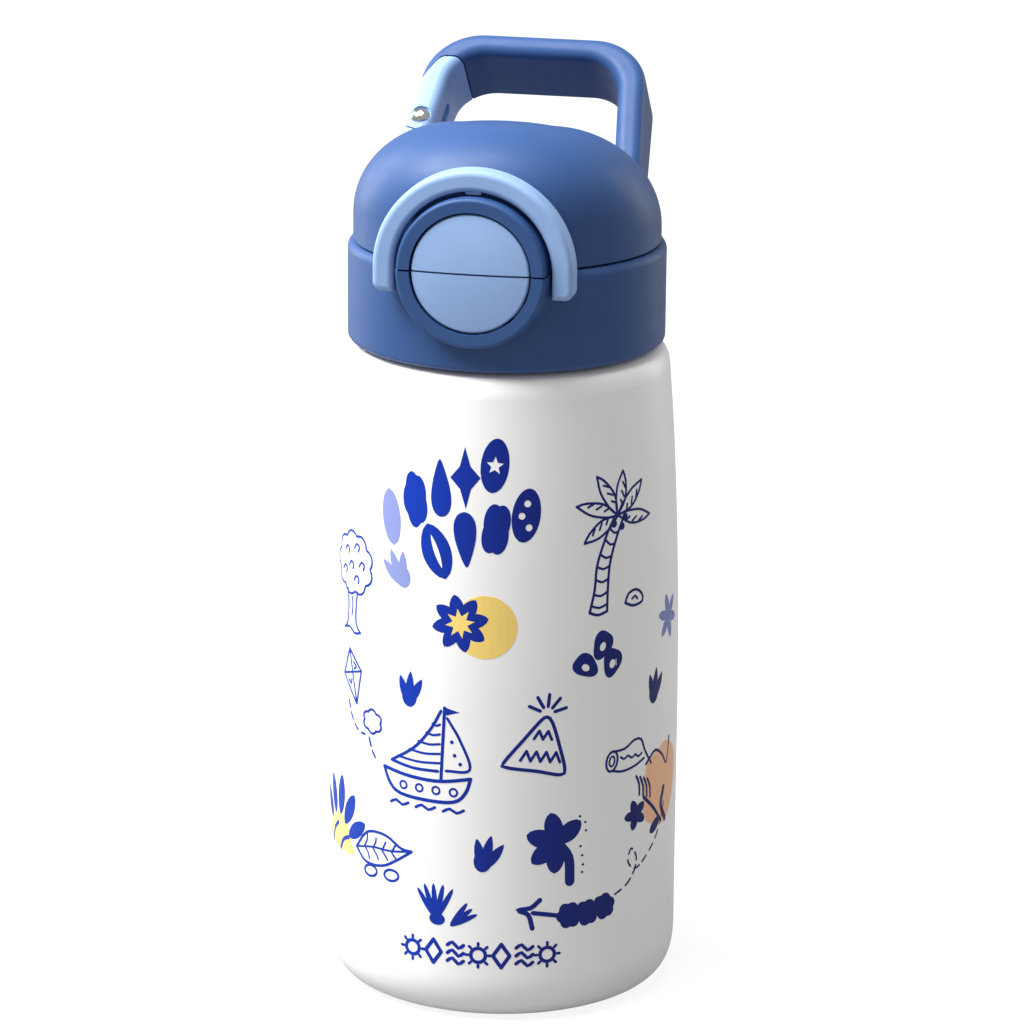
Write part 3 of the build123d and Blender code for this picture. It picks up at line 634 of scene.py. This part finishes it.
def title_row():
    """Two slanting rows of bold rounded shapes; a star, a rib and dots are cut out of three of them."""
    pod = pebble(2.9, 5.6, 2, 0.04, 0.6)
    sparkle = [(x * 0.52, y) for x, y in star(4, 6.2, 3.2)]
    bold_leaf = [(x, y - 5.9) for x, y in leaf(11.8, 6.4, 0.6)]
    rib = [(x, y - 3.6) for x, y in leaf(7.2, 1.1)]
    small_star = star(5, 1.9, 0.85)
    dots = [oval(0.72, 0.72, spot, 14) for spot in ((0, 2.4), (-0.9, -0.2), (0.8, -2.4))]
    shapes = [
        (-18.6, 108.8, 8, scalloped(2.75, 5.4, 5, 0.14), []),
        (-9.4, 111.8, 4, drop(11.6, 5.6), []),
        (-1.0, 114.3, 2, sparkle, []),
        (8.8, 117.0, -4, pod, [small_star]),
        (-10.4, 98.9, 22, bold_leaf, [rib]),
        (-0.6, 101.8, 4, turned(drop(11.2, 6.0), 180), []),
        (9.4, 104.2, -8, scalloped(2.85, 5.2, 4, 0.18), []),
        (19.2, 107.0, -6, pod, dots),
    ]
    solid, holes = [], []
    for azimuth, height, lean, outline, cuts in shapes:
        solid.append(turned(outline, lean, about=at(azimuth, height)))
        holes += placed(cuts, at(azimuth, height), lean)
    return solid, holes


def pebbles():
    """Three rounded stones with a hole in each."""
    solid, holes = [], []
    for azimuth, height, lean in ((39.4, 75.2, 58), (45.8, 79.0, -22), (49.6, 75.0, -12)):
        solid.append(turned(pebble(2.3, 3.0, 3, 0.10, 0.5), lean, about=at(azimuth, height)))
        holes.append(turned(pebble(0.7, 0.95, depth=0), lean, about=at(azimuth, height - 0.4)))
    return solid, holes


def sun_and_flower(azimuth, height):
    """Dark flower with a pale star in its middle, in front of a yellow disc."""
    petals = placed(flower(6.0, 8, 12, 0.52), at(azimuth, height))
    centre = [turned(star(8, 3.1, 1.55), 10, about=at(azimuth, height))]
    disc = [oval(6.5, 6.5, at(azimuth + 8.2, height - 0.5), 64)]
    return (petals, centre), [(disc, petals), (centre, [])]


def garden(azimuth, height):
    """Yellow mound with two furrows, blue leaves that grow out of it and a line-drawn leaf beside it."""
    mound = [(-6.4, -5.0), (-5.8, -1.4), (-3.4, 1.6), (-0.2, 2.6), (3.2, 0.8), (5.4, -2.6), (5.6, -5.4)]
    yellow = [turned(smooth(mound, True), 0, about=at(azimuth, height))]
    blades = [
        (-4.6, -0.6, 38, 7.4, 3.0), (-2.4, 1.0, 16, 8.6, 3.2), (0.2, 1.6, -6, 9.0, 3.4),
        (2.4, 0.4, -30, 8.4, 3.4), (4.2, -1.8, -54, 7.6, 3.2),
    ]
    plant = [turned(leaf(length, width, 0.6), lean, about=(x, y)) for x, y, lean, length, width in blades]
    plant += pen([(-4.4, -5.2), (-3.2, -2.2), (-1.0, -0.4)], 0.9)
    plant += pen([(0.4, -5.4), (1.8, -3.2), (4.2, -2.0)], 0.9)
    blue = placed(plant, at(azimuth, height))
    blue += placed(garden_leaf(), at(azimuth + 23.5, height - 1.8), 4, 0.98)
    return blue, (yellow, blue)


def beach(azimuth, height):
    """Peach mound with a log, a striped leaf and a small flower."""
    mound = [
        (-4.6, 5.4), (-5.6, 0.0), (-5.4, -5.6), (-1.6, -8.4), (4.4, -8.6),
        (9.0, -3.0), (9.4, 4.0), (4.0, 8.2), (-1.0, 7.2),
    ]
    fill = [turned(smooth(mound, True), 0, about=at(azimuth, height))]
    shapes = pen([(-5.0, 5.6), (-1.6, 7.6), (1.6, 5.8), (4.0, 3.4), (5.4, 8.6)], 0.6)
    shapes += placed(log(), (-11.0, 8.2), -6, 0.95)
    for i in range(4):
        x = -8.2 + 1.25 * i
        shapes += pen([(x, 3.8 - 0.5 * i), (x + 1.0, 1.8 - 0.5 * i), (x + 1.1, -0.4 - 0.5 * i)], 0.6)
    shapes += placed(flower(3.4, 5, 20, 0.62), (-8.2, -4.4))
    shapes += pen([(-5.6, -1.4), (-2.0, -4.6), (1.4, -8.4)], 0.8)
    shapes += pen([(2.6, -1.6), (1.4, -5.0), (3.6, -8.6)], 1.3)
    shapes.append(turned(pebble(2.2, 1.2, 2, 0.1), 24, about=(-1.2, -8.6)))
    blue = placed(shapes, at(azimuth, height))
    return blue, (fill, blue)


def leafy_plant():
    """Dark plant of five broad leaves on a thick stem, with dots beside it."""
    shapes = [turned(leaf(6.6, 3.9, 0.55), angle) for angle in (72, 12, -52, 128, 176)]
    shapes += pen([(0.6, -0.6), (2.6, -3.6), (2.9, -8.6)], 2.1)
    for x, y in ((5.0, 5.0), (6.2, 3.6), (6.4, 1.8), (5.2, -1.4), (5.6, -3.4), (5.8, -5.4), (5.6, -7.0)):
        shapes.append(oval(0.3, 0.26, (x, y), 8))
    return shapes


def arrow_trail():
    """Arrow tip, a short shaft, three lumps and a dashed trail with a loop."""
    shapes = pen([at(24.6, 26.6), at(21.6, 25.0), at(17.4, 24.6), at(20.8, 23.6), at(22.2, 20.6)], 1.0)
    shapes += pen([at(22.4, 23.9), at(27.0, 23.4), at(31.6, 22.8)], 0.95)
    for azimuth, lift in ((34.6, 22.7), (41.0, 22.7), (47.4, 23.3)):
        shapes.append(turned(scalloped(2.6, 2.7, 6, 0.16), azimuth, about=at(azimuth, lift)))
    trail = [
        (52.0, 25.2), (57.0, 26.6), (60.6, 29.0), (61.6, 31.8), (59.0, 34.0),
        (57.6, 31.4), (61.4, 29.4), (68.0, 31.6), (74.0, 35.0), (79.0, 41.0),
    ]
    return shapes + dashes([at(*spot) for spot in trail], 2.0, 1.0, 0.45)


def front_drawings():
    """Plain motifs on the side the photo shows: shapes, azimuth, height, lean and scale."""
    cloud = pen(scalloped(2.6, 2.3, 6, 0.2), 0.5, True)
    return [
        (fluffy_tree(), -47.0, 87.6, 0, 1.0),
        (palm(), 50.0, 99.0, 0, 1.0),
        (kite(), -46.0, 68.4, 12, 1.0),
        (cloud, -35.0, 60.6, 0, 1.0),
        (sail_boat(), -13.0, 57.4, 0, 0.98),
        (mountain(), 24.0, 60.4, -6, 1.02),
        (tuft(), -19.5, 66.2, 0, 1.0),
        (tuft(-6), 70.0, 63.6, 0, 1.0),
        (tuft(-10), 6.0, 33.0, 0, 1.08),
        (leafy_plant(), 30.0, 38.6, 0, 1.0),
        (grass(), -8.0, 21.2, 0, 1.0),
        (small_signs(), 4.8, 14.8, 0, 1.0),
    ]


def back_drawings():
    """Plain motifs on the unseen sides, from the same set and in the same form."""
    return [
        (fluffy_tree(), 118.0, 96.0, 0, 1.0),
        (tuft(8), 138.0, 104.0, 0, 1.1),
        (kite(), 152.0, 112.0, -14, 1.0),
        (mountain(), 132.0, 68.0, 4, 1.0),
        (palm(), 186.0, 100.0, 0, 1.0),
        (garden_leaf(), 160.0, 84.0, 6, 1.0),
        (sail_boat(), 172.0, 54.0, 0, 1.0),
        (tuft(-8), 206.0, 74.0, 0, 1.1),
        (grass(), 118.0, 42.0, 0, 1.0),
        (leafy_plant(), 214.0, 50.0, 0, 1.0),
        (log(), 138.0, 36.0, 4, 1.0),
        (small_signs(), 196.0, 20.0, 0, 1.0),
        (fluffy_tree(), 226.0, 102.0, 0, 0.95),
        (mountain(), 248.0, 74.0, -4, 1.0),
        (grass(), 252.0, 44.0, 0, 1.0),
        (tuft(), 258.0, 98.0, 0, 1.0),
        (garden_leaf(), 240.0, 24.0, -6, 1.0),
        (grass(), 142.0, 16.0, 0, 0.9),
    ]


def lavender_motifs():
    """The pale motifs: a bold leaf and a tuft by the title, and loose flowers."""
    motifs = [
        [turned(leaf(11.6, 4.8, 0.5), 10, about=at(-26.4, 98.6))],
        placed(tuft(20), at(-22.6, 90.6), 8, 1.1),
        placed(flower(5.0, 6, 15, 0.42), at(81.0, 80.0)),
        placed(flower(4.6, 6, 5, 0.45), at(162.0, 34.0)),
        placed(flower(5.0, 6, 25, 0.42), at(232.0, 82.0)),
    ]
    return [(shapes, []) for shapes in motifs]


def build_print():
    """All motifs as (filled outlines, cut-outs), by ink."""
    blue, yellow = [], []
    for azimuth, height in ((-2.0, 84.6), (152.0, 98.0)):
        petals, suns = sun_and_flower(azimuth, height)
        blue.append(petals)
        yellow += suns
    garden_blue, garden_yellow = garden(-55.0, 35.4)
    beach_blue, beach_fill = beach(74.0, 45.4)
    blue += [title_row(), pebbles(), (garden_blue, []), (beach_blue, []), (arrow_trail(), [])]
    yellow.append(garden_yellow)
    for shapes, azimuth, height, lean, size in front_drawings() + back_drawings():
        blue.append((placed(shapes, at(azimuth, height), lean, size), []))
    kite_tail = [(-48.0, 63.0), (-46.0, 60.0), (-42.0, 57.6), (-37.0, 57.4)]
    cloud_tail = [(-36.4, 57.0), (-34.8, 54.4), (-31.6, 51.8)]
    blue.append((dashes([at(*spot) for spot in kite_tail], 1.6, 0.9), []))
    blue.append((dashes([at(*spot) for spot in cloud_tail], 1.8, 0.9), []))
    return {"blue": blue, "lavender": lavender_motifs(), "yellow": yellow, "peach": [beach_fill]}


# ------------------------------------------------------------------ wrapping

def anticlockwise(outline):
    """The outline, reversed if it runs clockwise."""
    area = sum(p[0] * q[1] - q[0] * p[1] for p, q in zip(outline, [*outline[1:], outline[0]]))
    return outline if area > 0 else outline[::-1]


def fill_flat(solid, holes):
    """Triangles of the union of the outlines, less the holes, sliced finely enough to wrap."""
    points, faces = [], []
    for outline in solid + holes:
        faces.append(list(range(len(points), len(points) + len(outline))))
        points += [Vector(p) for p in anticlockwise(outline)]
    low_x, high_x = min(p.x for p in points) - 1, max(p.x for p in points) + 1
    low_z, high_z = min(p.y for p in points) - 1, max(p.y for p in points) + 1
    edges = []
    for i in range(math.floor(low_x / SLICE_X), math.ceil(high_x / SLICE_X) + 1):
        edges.append((len(points), len(points) + 1))
        points += [Vector((i * SLICE_X, low_z)), Vector((i * SLICE_X, high_z))]
    for i in range(math.floor(low_z / SLICE_Z), math.ceil(high_z / SLICE_Z) + 1):
        edges.append((len(points), len(points) + 1))
        points += [Vector((low_x, i * SLICE_Z)), Vector((high_x, i * SLICE_Z))]
    made = delaunay_2d_cdt(points, edges, faces, 0, MERGE_WITHIN, True)
    corners, triangles, origins = made[0], made[2], made[5]
    kept = [t for t, o in zip(triangles, origins) if o and max(o) < len(solid)]
    return corners, kept


def wrap_ink(name, motifs, tree):
    """One closed, very thin mesh of ink for all motifs of a colour."""
    points, faces = [], []
    for solid, holes in motifs:
        corners, triangles = fill_flat(solid, holes)
        used = sorted({i for t in triangles for i in t})
        number = {old: len(points) + 2 * k for k, old in enumerate(used)}
        for old in used:
            across, height = corners[old]
            azimuth = across / BODY_R
            out = Vector((math.sin(azimuth), -math.cos(azimuth), 0))
            start = Vector((0, 0, height * MM)) + out * OUTSIDE
            hit = tree.ray_cast(start, -out)[0]
            points.append(hit + out * INK_PROUD * MM)
            points.append(hit - out * INK_SUNK * MM)
        border = {}
        for a, b, c in triangles:
            faces.append((number[a], number[b], number[c]))
            faces.append((number[c] + 1, number[b] + 1, number[a] + 1))
            for p, q in ((a, b), (b, c), (c, a)):
                if (q, p) in border:
                    del border[(q, p)]
                else:
                    border[(p, q)] = True
        for p, q in border:
            faces.append((number[q], number[p], number[p] + 1, number[q] + 1))
    mesh = bpy.data.meshes.new(name)
    mesh.from_pydata(points, [], faces)
    mesh.validate()
    piece = bpy.data.objects.new(name, mesh)
    bpy.context.scene.collection.objects.link(piece)
    return piece


def shaded_ink_material(name, colours):
    """Printed ink that darkens from the bottle's left side to its right: partly the print's own colour
    change, partly painted shade away from the key light.
    """
    tree, shader = new_material(name)
    where = tree.nodes.new("ShaderNodeTexCoord")
    split = tree.nodes.new("ShaderNodeSeparateXYZ")
    tree.links.new(where.outputs["Object"], split.inputs["Vector"])
    across = tree.nodes.new("ShaderNodeMapRange")
    across.inputs["From Min"].default_value = -BODY_R * MM
    across.inputs["From Max"].default_value = BODY_R * MM
    tree.links.new(split.outputs["X"], across.inputs["Value"])
    # lighter on the left and darker on the right along X: partly the print's own colour, partly painted shade
    tree.links.new(ramp(tree, across.outputs["Result"], colours), shader.inputs["Base Color"])
    roughness_noise(tree, shader, 0.40, 0.50, scale=700)
    shader.inputs["Specular IOR Level"].default_value = 0.25
    grain(tree, shader, scale=3000, height=0.00001, strength=0.4)
    return MATERIALS[name]


# colours of each ink, from the bottle's left side to its right; the darkening towards the right is partly the
# print's own colour and partly painted shade
INKS_WITH_PAINTED_SHADE = {
    "blue": [
        (0.0, srgb(20, 62, 160)), (0.35, srgb(4, 52, 168)),
        (0.6, srgb(4, 34, 134)), (1.0, srgb(8, 24, 92)),
    ],
    "lavender": [(0.0, srgb(142, 154, 210)), (1.0, srgb(120, 132, 190))],
    "yellow": [(0.0, srgb(255, 226, 140)), (0.5, srgb(246, 214, 120)), (1.0, srgb(228, 190, 100))],
    "peach": [(0.0, srgb(255, 214, 180)), (1.0, srgb(244, 190, 150))],
}


def make_print():
    """Wraps each ink's motifs on the outer shell."""
    shell = frame["nodes"]["outer_shell"]
    tree = BVHTree.FromObject(shell, bpy.context.evaluated_depsgraph_get())
    for colour, motifs in build_print().items():
        piece = wrap_ink(f"print_{colour}", motifs, tree)
        piece.data.materials.append(shaded_ink_material(f"ink_{colour}", INKS_WITH_PAINTED_SHADE[colour]))
        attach(piece, "bottle")


make_camera()
make_lights()
make_floor()
make_materials()
dress_nodes()
sprung_button()
make_print()
